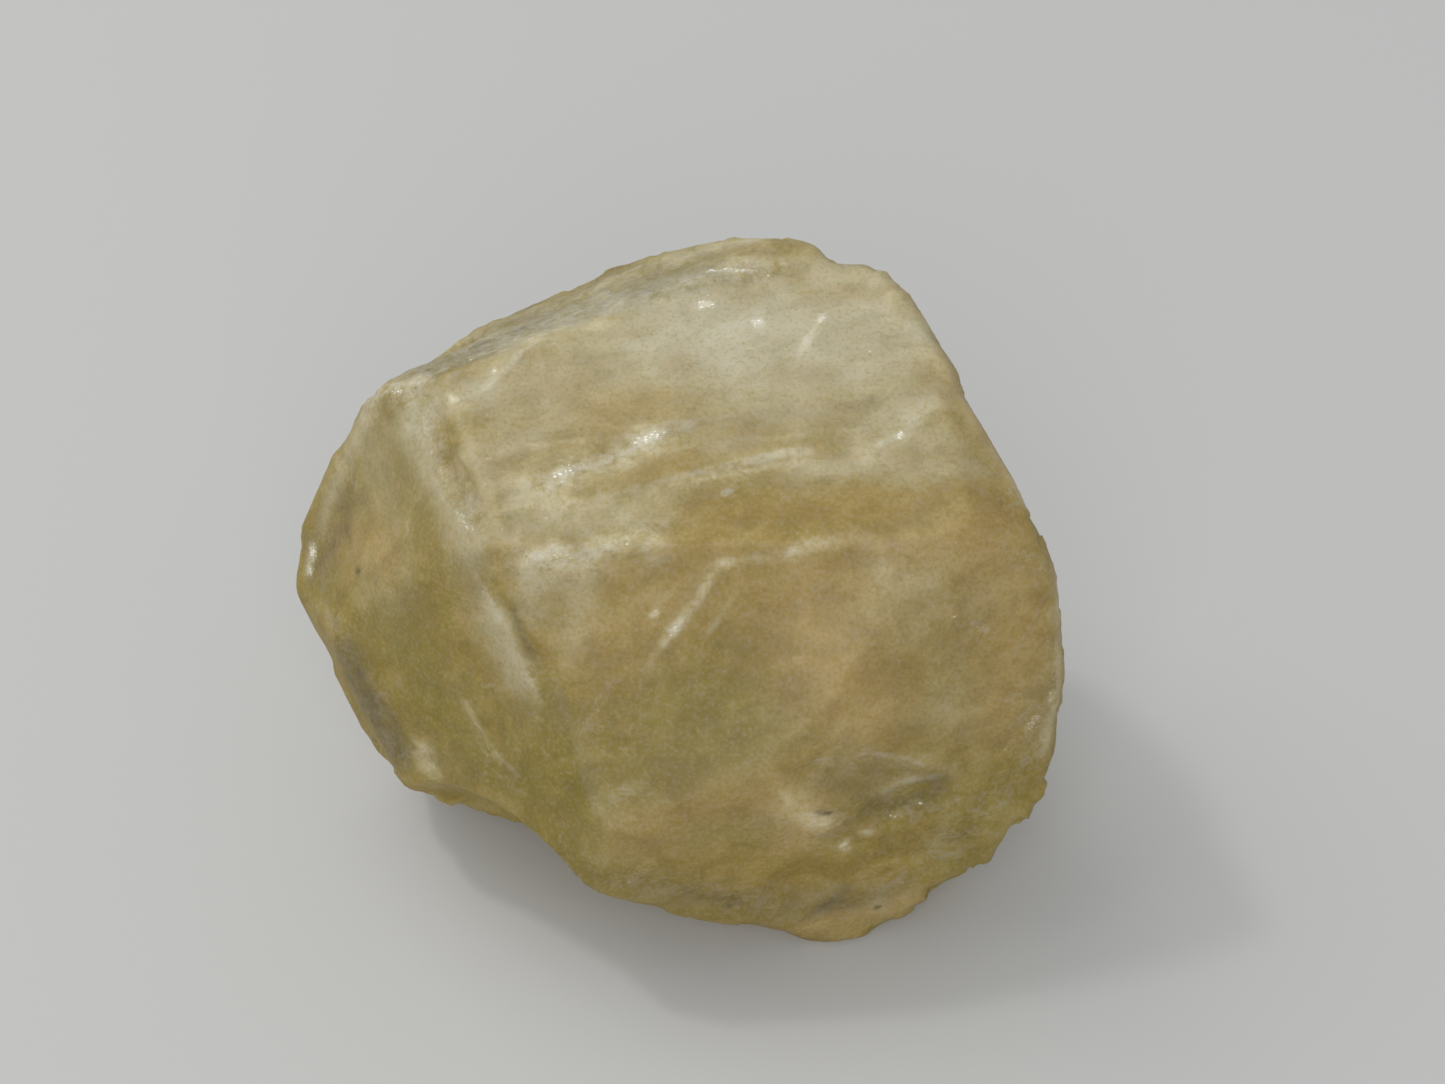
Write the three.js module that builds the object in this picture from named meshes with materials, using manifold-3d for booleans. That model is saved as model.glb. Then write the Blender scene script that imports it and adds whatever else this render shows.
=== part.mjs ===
// A rough piece of one sanidine crystal, honey yellow and milky, broken out of its rock.
// It is a single solid: flat cleavage and fracture faces with worn edges, low cleavage terraces across
// its upper face, and shell-shaped scars where chips sprang off. Millimetres, +Z up, at rest on z = 0.
import * as THREE from "three";
import { mergeVertices } from "three/addons/utils/BufferGeometryUtils.js";
import Module from "manifold-3d";

const wasm = await Module();
wasm.setup();

// The stone is set out in a sight frame, as seen by someone who looks down on its front at this angle.
// There x is right, y is up across the sight line and z comes out towards the viewer, from the middle.
const sightDip = 42;
const blockSize = 60; // the rough block that the faces are cut from
const baseReach = 9.4; // from the middle down to the flat face that the stone rests on
const wornWidth = 0.5; // width of the narrow worn flat along each edge
const chipSpacing = 2.4; // along the outer edges, from one small chip to the next
const chipMouth = [0.3, 0.85]; // least and greatest radius of a small chip
const clearance = 3; // how far a cutting shape stands out of the stone

// Each face looks along a clock and a lean, and lies a reach from the middle of the stone.
// The clock turns round the sight line: 0 looks right, 90 up, 180 left and 270 down.
// The lean tips the face to the viewer: 90 looks along the sight line, and below 0 it is hidden.
const faces = {
  // the broad faces towards the viewer
  upper_face: [92, 56.5, 6.0],
  front_face: [267, 78.5, 5.35],
  lower_front: [286, 46.5, 7.3],
  right_shoulder: [52, 47, 8.78],
  right_face: [311, 59.5, 6.85],
  left_strip: [157, 50.5, 7.95],
  left_high: [177, 41, 7.9],
  left_low: [210, 44.5, 6.75],
  left_rim: [208, 18, 9.7],
  back_slope: [108, 24, 8.68],
  // the rim, clockwise from the left tip
  rim_left_tip: [166, -8, 13.0],
  rim_left_high: [149, -6, 11.4],
  rim_top_left: [119, -10, 10.5],
  rim_top_mid: [113, -12, 11.5],
  rim_top: [107, -10, 11.75],
  rim_crown: [90, -8, 11.7],
  rim_top_right: [73, -8, 11.35],
  rim_top_corner: [48, -14, 11.3],
  rim_right_high: [32, -10, 10.9],
  rim_right: [26.5, -6, 10.0],
  rim_right_mid: [6, -10, 10.7],
  rim_right_low: [346, -12, 11.95],
  rim_corner: [321, -8, 12.9],
  rim_low_right: [302.5, -10, 12.55],
  rim_low: [287, -6, 12.8],
  rim_bottom: [260, -8, 10.75],
  rim_bottom_left: [252, -6, 9.28],
  rim_notch: [240, -12, 10.05],
  rim_left_low: [210, -8, 12.0],
  rim_left_foot: [204, -8, 11.6],
  // the hidden back
  back_high: [75, -42, 9.6],
  back_left: [160, -48, 9.75],
  back_right: [20, -44, 9.8],
  back_low: [100, -72, 7.6],
};

// Low cleavage steps: a face drops by this much inside an outline, whose first points are the riser.
const terraces = {
  upper_ledge: {
    face: "upper_face",
    drop: 0.17,
    outline: [
      [-5.2, 3.0], [-4.2, 3.3], [-3.0, 3.9], [-1.4, 4.6], [0.4, 5.2], [2.6, 5.5],
      [5.2, 5.8], [9.5, 6.6], [9.5, -2], [-6, -2],
    ],
  },
  lower_ledge: {
    face: "upper_face",
    drop: 0.32,
    outline: [
      [-4.9, 2.3], [-3.6, 2.7], [-2.1, 3.0], [-0.5, 3.4], [1.6, 4.0], [3.6, 4.3], [5.6, 4.3],
      [6.6, 4.8], [7.7, 5.7], [9.5, 5.9], [9.5, -2], [-6, -2],
    ],
  },
  side_ledge: {
    face: "left_strip",
    drop: 0.2,
    outline: [[-7.1, 6.6], [-6.8, 4.6], [-6.2, 3.7], [-5.4, 2.2], [-5.2, -1], [-12, -1], [-12, 8]],
  },
  rear_step_inner: {
    face: "back_slope",
    drop: 0.1,
    outline: [
      [-12, 5.4], [-8.6, 6.0], [-7.4, 6.35], [-6.3, 6.9], [-5.4, 7.2], [-4.1, 7.9], [-2.6, 8.35],
      [-1.3, 9.05], [0.4, 9.6], [1.6, 10.2], [1.6, 13], [-12, 13],
    ],
  },
  rear_step_middle: {
    face: "back_slope",
    drop: 0.2,
    outline: [
      [-12, 5.7], [-8.6, 6.4], [-7.0, 7.05], [-5.9, 7.4], [-4.7, 8.05], [-3.3, 8.5], [-2.2, 9.1],
      [-0.6, 9.6], [-0.6, 13], [-12, 13],
    ],
  },
  rear_step_outer: {
    face: "back_slope",
    drop: 0.3,
    outline: [
      [-12, 6.0], [-8.6, 6.9], [-6.6, 7.75], [-5.2, 8.15], [-4.0, 8.75],
      [-2.7, 9.2], [-2.4, 13], [-12, 13],
    ],
  },
  rear_ledge: {
    face: "back_high",
    drop: 0.6,
    outline: [[-5, 6], [-1, 7.5], [3, 7], [6, 9], [16, 7], [16, 18], [-9, 18]],
  },
  low_rear_ledge: {
    face: "back_left",
    drop: 0.35,
    outline: [[-14, -4], [-9, -1.5], [-6.5, 0.5], [-4, 1.5], [-1, 4], [-1, -14], [-14, -14]],
  },
};

// Shell-shaped scars: where each lies in the sight frame, its mouth radius and its depth. It is drawn
// out by stretch along its turn. It opens square to the face it lies on, or towards a clock and lean.
const scars = {
  dome_scar: { at: [2.7, -1.5], mouth: 2.7, depth: 0.24, stretch: 1.3, turn: 40 },
  wing_scar: { at: [4.8, -5.7], mouth: 1.3, depth: 0.35, stretch: 2.1, turn: 4 },
  wing_hollow: { at: [6.8, -6.4], mouth: 0.9, depth: 0.3, stretch: 1.7, turn: 20 },
  fold: { at: [-3.9, -2.4], mouth: 0.6, depth: 0.26, stretch: 4.6, turn: 107 },
  corner_bay: { at: [-8.15, 7.2], toward: [118, -2], mouth: 1.3, depth: 0.42, stretch: 1.2, turn: 28 },
  strip_groove: { at: [-6.8, 4.8], mouth: 0.24, depth: 0.1, stretch: 4.2, turn: 126 },
  corner_chip: { at: [-6.1, 6.35], mouth: 0.8, depth: 0.2, stretch: 1.3, turn: 30 },
  left_dimple: { at: [-7.8, -5.5], mouth: 0.6, depth: 0.14, stretch: 1.2, turn: 60 },
  bottom_shell: { at: [3.9, -9.0], mouth: 1.25, depth: 0.3, stretch: 1.2, turn: 20 },
  notch: { at: [-4.85, -7.6], toward: [242, 2], mouth: 3.0, depth: 0.82, stretch: 1.15, turn: 152 },
  left_nick: { at: [-10.95, 3.75], toward: [150, -6], mouth: 0.5, depth: 0.14, stretch: 1.2 },
  crown_nick: { at: [4.5, 10.55], toward: [64, -4], mouth: 0.7, depth: 0.18, stretch: 1.3 },
  right_nick: { at: [10.85, 2.55], toward: [24, -6], mouth: 0.6, depth: 0.17, stretch: 1.2 },
  low_right_nick: { at: [10.2, -7.75], toward: [318, -6], mouth: 0.7, depth: 0.2, stretch: 1.2 },
  back_shell: { at: [-2, 1], behind: true, mouth: 4.2, depth: 0.8, stretch: 1.2, turn: 30 },
  back_scallop: { at: [6.6, 2.2], behind: true, mouth: 2.6, depth: 0.5, stretch: 1.3, turn: 110 },
};

function direction(clock, lean) {
  const turn = THREE.MathUtils.degToRad(clock);
  const tip = THREE.MathUtils.degToRad(lean);
  return new THREE.Vector3(Math.cos(turn) * Math.cos(tip), Math.sin(turn) * Math.cos(tip), Math.sin(tip));
}

function planeOf([clock, lean, reach]) {
  return { facing: direction(clock, lean), reach };
}

const planes = Object.values(faces).map(planeOf);
planes.push(planeOf([270, -sightDip, baseReach]));

// The plane's depth along the sight line at a place on it.
function depthOn({ facing, reach }, x, y) {
  return (reach - facing.x * x - facing.y * y) / facing.z;
}

// The face that a viewer in front of the stone, or behind it, meets first at a place.
function faceSeen(x, y, behind) {
  const side = behind ? -1 : 1;
  const seen = planes.filter(({ facing }) => facing.z * side > 0.05);
  const depth = (plane) => depthOn(plane, x, y) * side;
  return seen.reduce((nearest, plane) => (depth(plane) < depth(nearest) ? plane : nearest));
}

function solidOf(geometry) {
  const bare = geometry.clone();
  bare.deleteAttribute("normal");
  bare.deleteAttribute("uv");
  const merged = mergeVertices(bare, 1e-4);
  const vertProperties = new Float32Array(merged.attributes.position.array);
  const triVerts = new Uint32Array(merged.index.array);
  return new wasm.Manifold(new wasm.Mesh({ numProp: 3, vertProperties, triVerts }));
}

function geometryOf(solid) {
  const mesh = solid.getMesh();
  return new THREE.BufferGeometry()
    .setAttribute("position", new THREE.BufferAttribute(new Float32Array(mesh.vertProperties), 3))
    .setIndex(new THREE.BufferAttribute(new Uint32Array(mesh.triVerts), 1));
}

// Turns a shape's +z to the way that a face looks.
function turnTo(facing) {
  return new THREE.Quaternion().setFromUnitVectors(new THREE.Vector3(0, 0, 1), facing);
}

// All of the block beyond a plane.
function beyond({ facing, reach }) {
  const box = new THREE.BoxGeometry(blockSize * 2, blockSize * 2, blockSize * 2);
  box.translate(0, 0, reach + blockSize).applyQuaternion(turnTo(facing));
  return solidOf(box);
}

// What is taken off a face inside an outline, down to a step that is square to the face.
function terrace({ face, drop, outline }) {
  const plane = planeOf(faces[face]);
  const turn = turnTo(plane.facing);
  const back = turn.clone().invert();
  const onFace = ([x, y]) => new THREE.Vector3(x, y, depthOn(plane, x, y)).applyQuaternion(back);
  const corners = outline.map(onFace);
  const shape = new THREE.Shape(corners.map(({ x, y }) => new THREE.Vector2(x, y)));
  const slab = new THREE.ExtrudeGeometry(shape, { depth: drop + clearance, bevelEnabled: false });
  return solidOf(slab.translate(0, 0, plane.reach - drop).applyQuaternion(turn));
}

// What a chip takes away: part of a ball, so wide at the mouth and so deep, drawn out one way by stretch.
function shell(at, facing, { mouth, depth, stretch = 1, turn = 0 }, rings = 6, sides = 26) {
  const radius = (mouth * mouth + depth * depth) / (2 * depth);
  const opening = Math.asin(Math.min(1, (1.5 * mouth) / radius));
  const profile = [];
  for (let i = 0; i <= rings; i++) {
    const angle = (opening * i) / rings;
    profile.push(new THREE.Vector2(radius * Math.sin(angle), radius * (1 - Math.cos(angle)) - depth));
  }
  profile.push(new THREE.Vector2(profile[rings].x, clearance), new THREE.Vector2(0, clearance));
  const cap = new THREE.LatheGeometry(profile, sides).rotateX(Math.PI / 2).scale(stretch, 1, 1);
  cap.rotateZ(THREE.MathUtils.degToRad(turn)).applyQuaternion(turnTo(facing)).translate(...at);
  return solidOf(cap);
}

let stone = solidOf(new THREE.BoxGeometry(blockSize, blockSize, blockSize));
for (const plane of planes) stone = stone.subtract(beyond(plane));

// The edges of the cut stone, each with the two planes that meet there.
const edgeEnds = new THREE.EdgesGeometry(geometryOf(stone), 2).attributes.position;
const edges = [];
for (let i = 0; i < edgeEnds.count; i += 2) {
  const start = new THREE.Vector3().fromBufferAttribute(edgeEnds, i);
  const end = new THREE.Vector3().fromBufferAttribute(edgeEnds, i + 1);
  const middle = start.clone().add(end).divideScalar(2);
  const gap = ({ facing, reach }) => reach - facing.dot(middle);
  const [one, other] = [...planes].sort((a, b) => gap(a) - gap(b));
  const outward = one.facing.clone().add(other.facing).normalize();
  edges.push({ start, end, middle, outward, bend: one.facing.angleTo(other.facing) });
}

for (const { middle, outward, bend } of edges) {
  const shaved = (wornWidth / 2) * Math.tan(bend / 2);
  stone = stone.subtract(beyond({ facing: outward, reach: outward.dot(middle) - shaved }));
}

for (const step of Object.values(terraces)) stone = stone.subtract(terrace(step));

for (const scar of Object.values(scars)) {
  const seen = faceSeen(...scar.at, scar.behind);
  const at = new THREE.Vector3(...scar.at, depthOn(seen, ...scar.at));
  if (scar.toward) at.z = 0;
  stone = stone.subtract(shell(at, scar.toward ? direction(...scar.toward) : seen.facing, scar));
}

// Small chips off the outer and hidden edges, in a fixed order.
let seed = 7;
function random(least, greatest) {
  seed = (seed * 16807) % 2147483647;
  return least + ((greatest - least) * seed) / 2147483647;
}
for (const { start, end, outward } of edges) {
  if (outward.z > 0.45) continue;
  const count = Math.round(start.distanceTo(end) / chipSpacing + random(-0.5, 0.5));
  for (let i = 0; i < count; i++) {
    const at = start.clone().lerp(end, (i + random(0, 1)) / count);
    const sway = new THREE.Vector3(random(-0.3, 0.3), random(-0.3, 0.3), random(-0.3, 0.3));
    const facing = outward.clone().add(sway).normalize();
    const mouth = random(...chipMouth);
    const chip = { mouth, depth: mouth * random(0.2, 0.35), stretch: random(1, 2), turn: random(0, 180) };
    stone = stone.subtract(shell(at, facing, chip, 2, 9));
  }
}

// From the sight frame to the stone at rest, with the middle of its footprint over the origin.
const dip = THREE.MathUtils.degToRad(sightDip);
const right = new THREE.Vector3(1, 0, 0);
const up = new THREE.Vector3(0, Math.sin(dip), Math.cos(dip));
const out = new THREE.Vector3(0, -Math.cos(dip), Math.sin(dip));
const geometry = geometryOf(stone).applyMatrix4(new THREE.Matrix4().makeBasis(right, up, out));
geometry.computeBoundingBox();
const { min, max } = geometry.boundingBox;
const toBase = new THREE.Vector3(-(min.x + max.x) / 2, -(min.y + max.y) / 2, -min.z);
geometry.translate(...toBase);

const sanidine = new THREE.MeshStandardMaterial({ color: 0xc4b489, roughness: 0.3, metalness: 0 });
const crystal = new THREE.Mesh(geometry, sanidine);
crystal.name = "sanidine_crystal";

const part = new THREE.Group();
part.add(crystal);
export default part;
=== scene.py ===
import math

import bpy
import numpy as np
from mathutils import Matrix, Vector, noise
from mathutils.bvhtree import BVHTree
from mathutils.kdtree import KDTree


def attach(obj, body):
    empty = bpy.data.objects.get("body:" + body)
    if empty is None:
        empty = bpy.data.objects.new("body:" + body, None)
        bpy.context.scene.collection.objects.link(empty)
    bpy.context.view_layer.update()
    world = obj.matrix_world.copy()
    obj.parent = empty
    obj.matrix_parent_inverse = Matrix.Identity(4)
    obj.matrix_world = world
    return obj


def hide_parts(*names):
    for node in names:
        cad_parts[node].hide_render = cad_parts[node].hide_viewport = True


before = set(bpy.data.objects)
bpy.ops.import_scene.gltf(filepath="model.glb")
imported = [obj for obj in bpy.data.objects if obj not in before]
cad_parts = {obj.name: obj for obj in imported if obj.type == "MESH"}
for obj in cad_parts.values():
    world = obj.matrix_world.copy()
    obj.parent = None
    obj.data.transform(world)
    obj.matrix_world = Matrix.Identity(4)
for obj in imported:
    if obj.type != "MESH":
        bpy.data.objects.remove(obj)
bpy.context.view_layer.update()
mm = 0.001

# Places on the front are given as they look down the sight line: (right, up) in mm from the middle
sight = {
    "dip": 42.0,                      # degrees that the sight line comes down at
    "middle": (0.39, -0.87, 9.4),     # mm, the middle of the stone
    "heart": (0.9, 0.05, 8.15),       # mm, where the directions of the hidden sides are counted from
    "farOut": 40.0,                   # mm, rays towards the skin start this far out
}
dip = math.radians(sight["dip"])
middle = Vector(sight["middle"]) * mm
right = Vector((1, 0, 0))
up = Vector((0, math.sin(dip), math.cos(dip)))
out = Vector((0, -math.cos(dip), math.sin(dip)))

# in mm
view = {"lens": 60, "sensor": 36, "distance": 75.25, "aside": 1.33, "above": 1.5, "nearest": 1.0}


def addCamera():
    place = middle + (right * view["aside"] + up * view["above"] + out * view["distance"]) * mm
    bpy.ops.object.camera_add(location=place, rotation=(math.pi / 2 - dip, 0, 0))
    camera = bpy.context.object
    camera.name = "studioCamera"
    camera.data.lens = view["lens"]
    camera.data.sensor_width = view["sensor"]
    camera.data.clip_start = view["nearest"] * mm
    bpy.context.scene.camera = camera


studio = {
    "floorSize": 1.6,
    "floorColour": (0.46, 0.46, 0.45),
    "floorRoughness": 0.7,
    "skyColour": (0.93, 0.96, 1.0),
    "skyStrength": 0.52,
    "lampsAimAt": (0, 0, 0.008),
    # name, place in metres, size, power in watts, colour
    "lamps": [
        ("keyLamp", (-0.30, 0.22, 0.50), 0.50, 1.55, (1.0, 0.98, 0.94)),
        ("fillLamp", (-0.03, -0.52, 0.36), 0.50, 2.15, (1.0, 0.99, 0.97)),
        ("glintLamp", (-0.22, 0.10, 0.40), 0.04, 0.3, (1.0, 1.0, 1.0)),
    ],
}


def addStudio():
    bpy.ops.mesh.primitive_plane_add(size=studio["floorSize"])
    floor = bpy.context.object
    floor.name = "floor"
    paint = bpy.data.materials.new("floorPaint")
    paint.use_nodes = True
    shader = paint.node_tree.nodes["Principled BSDF"]
    shader.inputs["Base Color"].default_value = (*studio["floorColour"], 1)
    shader.inputs["Roughness"].default_value = studio["floorRoughness"]
    floor.data.materials.append(paint)
    world = bpy.data.worlds.new("softSky")
    bpy.context.scene.world = world
    world.use_nodes = True
    sky = world.node_tree.nodes["Background"]
    sky.inputs["Color"].default_value = (*studio["skyColour"], 1)
    sky.inputs["Strength"].default_value = studio["skyStrength"]
    for name, place, size, power, colour in studio["lamps"]:
        bpy.ops.object.light_add(type="AREA", location=place)
        lamp = bpy.context.object
        lamp.name = name
        way = Vector(studio["lampsAimAt"]) - Vector(place)
        lamp.rotation_euler = way.to_track_quat("-Z", "Y").to_euler()
        lamp.data.size = size
        lamp.data.energy = power
        lamp.data.color = colour
    bpy.context.scene.view_settings.view_transform = "Standard"
    print("camera, floor and lights are in place")


body = {
    "name": "crystalBody",
    "voxel": 0.135,      # mm, fine enough to keep the edges and coarse enough to stay light
    "weld": 0.001,       # mm
    "polish": 2,         # smoothing steps after the remesh
    "polishEach": 0.5,
    "regrown": 0.06,     # mm, gives back what the smoothing takes off
}


def only(thing):
    bpy.ops.object.select_all(action="DESELECT")
    thing.select_set(True)
    bpy.context.view_layer.objects.active = thing


def applyModifier(thing, name, kind, **values):
    modifier = thing.modifiers.new(name, kind)
    for key, value in values.items():
        setattr(modifier, key, value)
    only(thing)
    bpy.ops.object.modifier_apply(modifier=modifier.name)


def addBody():
    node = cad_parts["sanidine_crystal"]
    crystal = bpy.data.objects.new(body["name"], node.data.copy())
    bpy.context.scene.collection.objects.link(crystal)
    crystal.data.materials.clear()
    only(crystal)
    bpy.ops.object.mode_set(mode="EDIT")
    bpy.ops.mesh.select_all(action="SELECT")
    bpy.ops.mesh.remove_doubles(threshold=body["weld"] * mm)
    bpy.ops.object.mode_set(mode="OBJECT")
    applyModifier(crystal, "grain", "REMESH", mode="VOXEL", voxel_size=body["voxel"] * mm)
    applyModifier(crystal, "worn", "SMOOTH", factor=body["polishEach"], iterations=body["polish"])
    applyModifier(crystal, "regrown", "DISPLACE", strength=body["regrown"] * mm, mid_level=0.0)
    print("body remeshed:", len(crystal.data.vertices), "vertices")
    return crystal


# how lines are drawn on the skin
drawing = {
    "step": 0.08,             # mm between the places along a line
    "shortest": 0.1,          # mm, the line that stands for a single place
    "fadeParts": 6,           # a line fades over one such part of its length at either end
    "waverLump": 1.2,         # mm, lump size of the noise that keeps lines from being straight
    "waverShift": 11.0,
    "hiddenFrom": -0.2,       # how far the skin is turned away where the hidden sides start
    "hiddenFull": 0.15,       # and where they are full
    "rimStart": 1.05,         # the outline is looked for from this far out, in such steps
    "rimStep": 0.005,
    "rimTries": 40,
}


# The crystal's skin as points. It finds the points near a line that is drawn on it.
class Skin:
    def __init__(self, thing):
        mesh = thing.data
        self.count = len(mesh.vertices)
        place = np.empty(self.count * 3, np.float32)
        facing = np.empty(self.count * 3, np.float32)
        mesh.vertices.foreach_get("co", place)
        mesh.vertex_normals.foreach_get("vector", facing)
        self.place = place.reshape(-1, 3) / mm
        self.facing = facing.reshape(-1, 3)
        self.tree = BVHTree.FromObject(thing, bpy.context.evaluated_depsgraph_get())
        self.waver = self.noisy(drawing["waverLump"], drawing["waverShift"])

    # noise from -1 to 1 on every point, with lumps of this size in mm
    def noisy(self, size, shift=0.0, octaves=3):
        values = np.empty(self.count, np.float32)
        for i, point in enumerate(self.place):
            where = Vector(point) / size + Vector((shift, shift * 0.7, -shift))
            values[i] = noise.fractal(where, 0.6, 2.1, octaves)
        return values

    # 0 where the skin faces the viewer, 1 where it is turned away
    def hidden(self):
        away = -(self.facing @ np.array(out))
        return smooth(away, drawing["hiddenFrom"], drawing["hiddenFull"])

    # the place on the skin that is seen at right x and up y
    def seen(self, x, y):
        start = middle + (right * x + up * y + out * sight["farOut"]) * mm
        hit = self.tree.ray_cast(start, -out)[0]
        return None if hit is None else np.array(hit) / mm

    # the place on the skin in this direction from inside the stone, 0 in front and 90 on the right
    def outward(self, azimuth, elevation):
        a, e = math.radians(azimuth), math.radians(elevation)
        way = Vector((math.sin(a) * math.cos(e), -math.cos(a) * math.cos(e), math.sin(e)))
        start = Vector(sight["heart"]) * mm + way * sight["farOut"] * mm
        hit = self.tree.ray_cast(start, -way)[0]
        return None if hit is None else np.array(hit) / mm

    # the outermost place on the outline, in the direction of right x and up y
    def rim(self, x, y):
        for k in range(drawing["rimTries"]):
            share = drawing["rimStart"] - drawing["rimStep"] * k
            hit = self.seen(x * share, y * share)
            if hit is not None:
                return hit
        return None

    # the skin's points under a line through these places
    def line(self, points, place):
        x, y = points[0]
        ends = points if len(points) > 1 else [(x, y), (x + drawing["shortest"], y)]
        found = []
        for (ax, ay), (bx, by) in zip(ends, ends[1:]):
            steps = max(3, int(math.hypot(bx - ax, by - ay) / drawing["step"]))
            for k in range(steps):
                hit = place(ax + (bx - ax) * k / steps, ay + (by - ay) * k / steps)
                if hit is not None:
                    found.append(hit)
        return np.array(found)

    # every point within reach of a line: its number, distance, signed distance and fade at the ends
    def measure(self, line, reach, waver=0.0):
        tree = KDTree(len(line))
        for k, point in enumerate(line):
            tree.insert(point, k)
        tree.balance()
        low, high = line.min(0) - reach, line.max(0) + reach
        near = np.nonzero(((self.place > low) & (self.place < high)).all(1))[0]
        ways = np.gradient(line, axis=0)
        rows = []
        for i in near:
            hit, k, far = tree.find(self.place[i])
            if far < reach:
                rows.append((i, k, far))
        index = np.array([row[0] for row in rows], int)
        nearest = np.array([row[1] for row in rows], int)
        far = np.array([row[2] for row in rows])
        across = np.cross(ways[nearest], self.facing[index])
        across /= np.linalg.norm(across, axis=1, keepdims=True) + 1e-9
        side = ((self.place[index] - line[nearest]) * across).sum(1)
        shift = waver * self.waver[index]
        share = nearest / max(len(line) - 1, 1)
        ends = np.clip(np.minimum(share, 1 - share) * drawing["fadeParts"], 0, 1)
        return index, np.abs(far + shift), side + shift, ends


def smooth(value, low, high):
    t = np.clip((value - low) / (high - low), 0, 1)
    return t * t * (3 - 2 * t)


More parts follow.
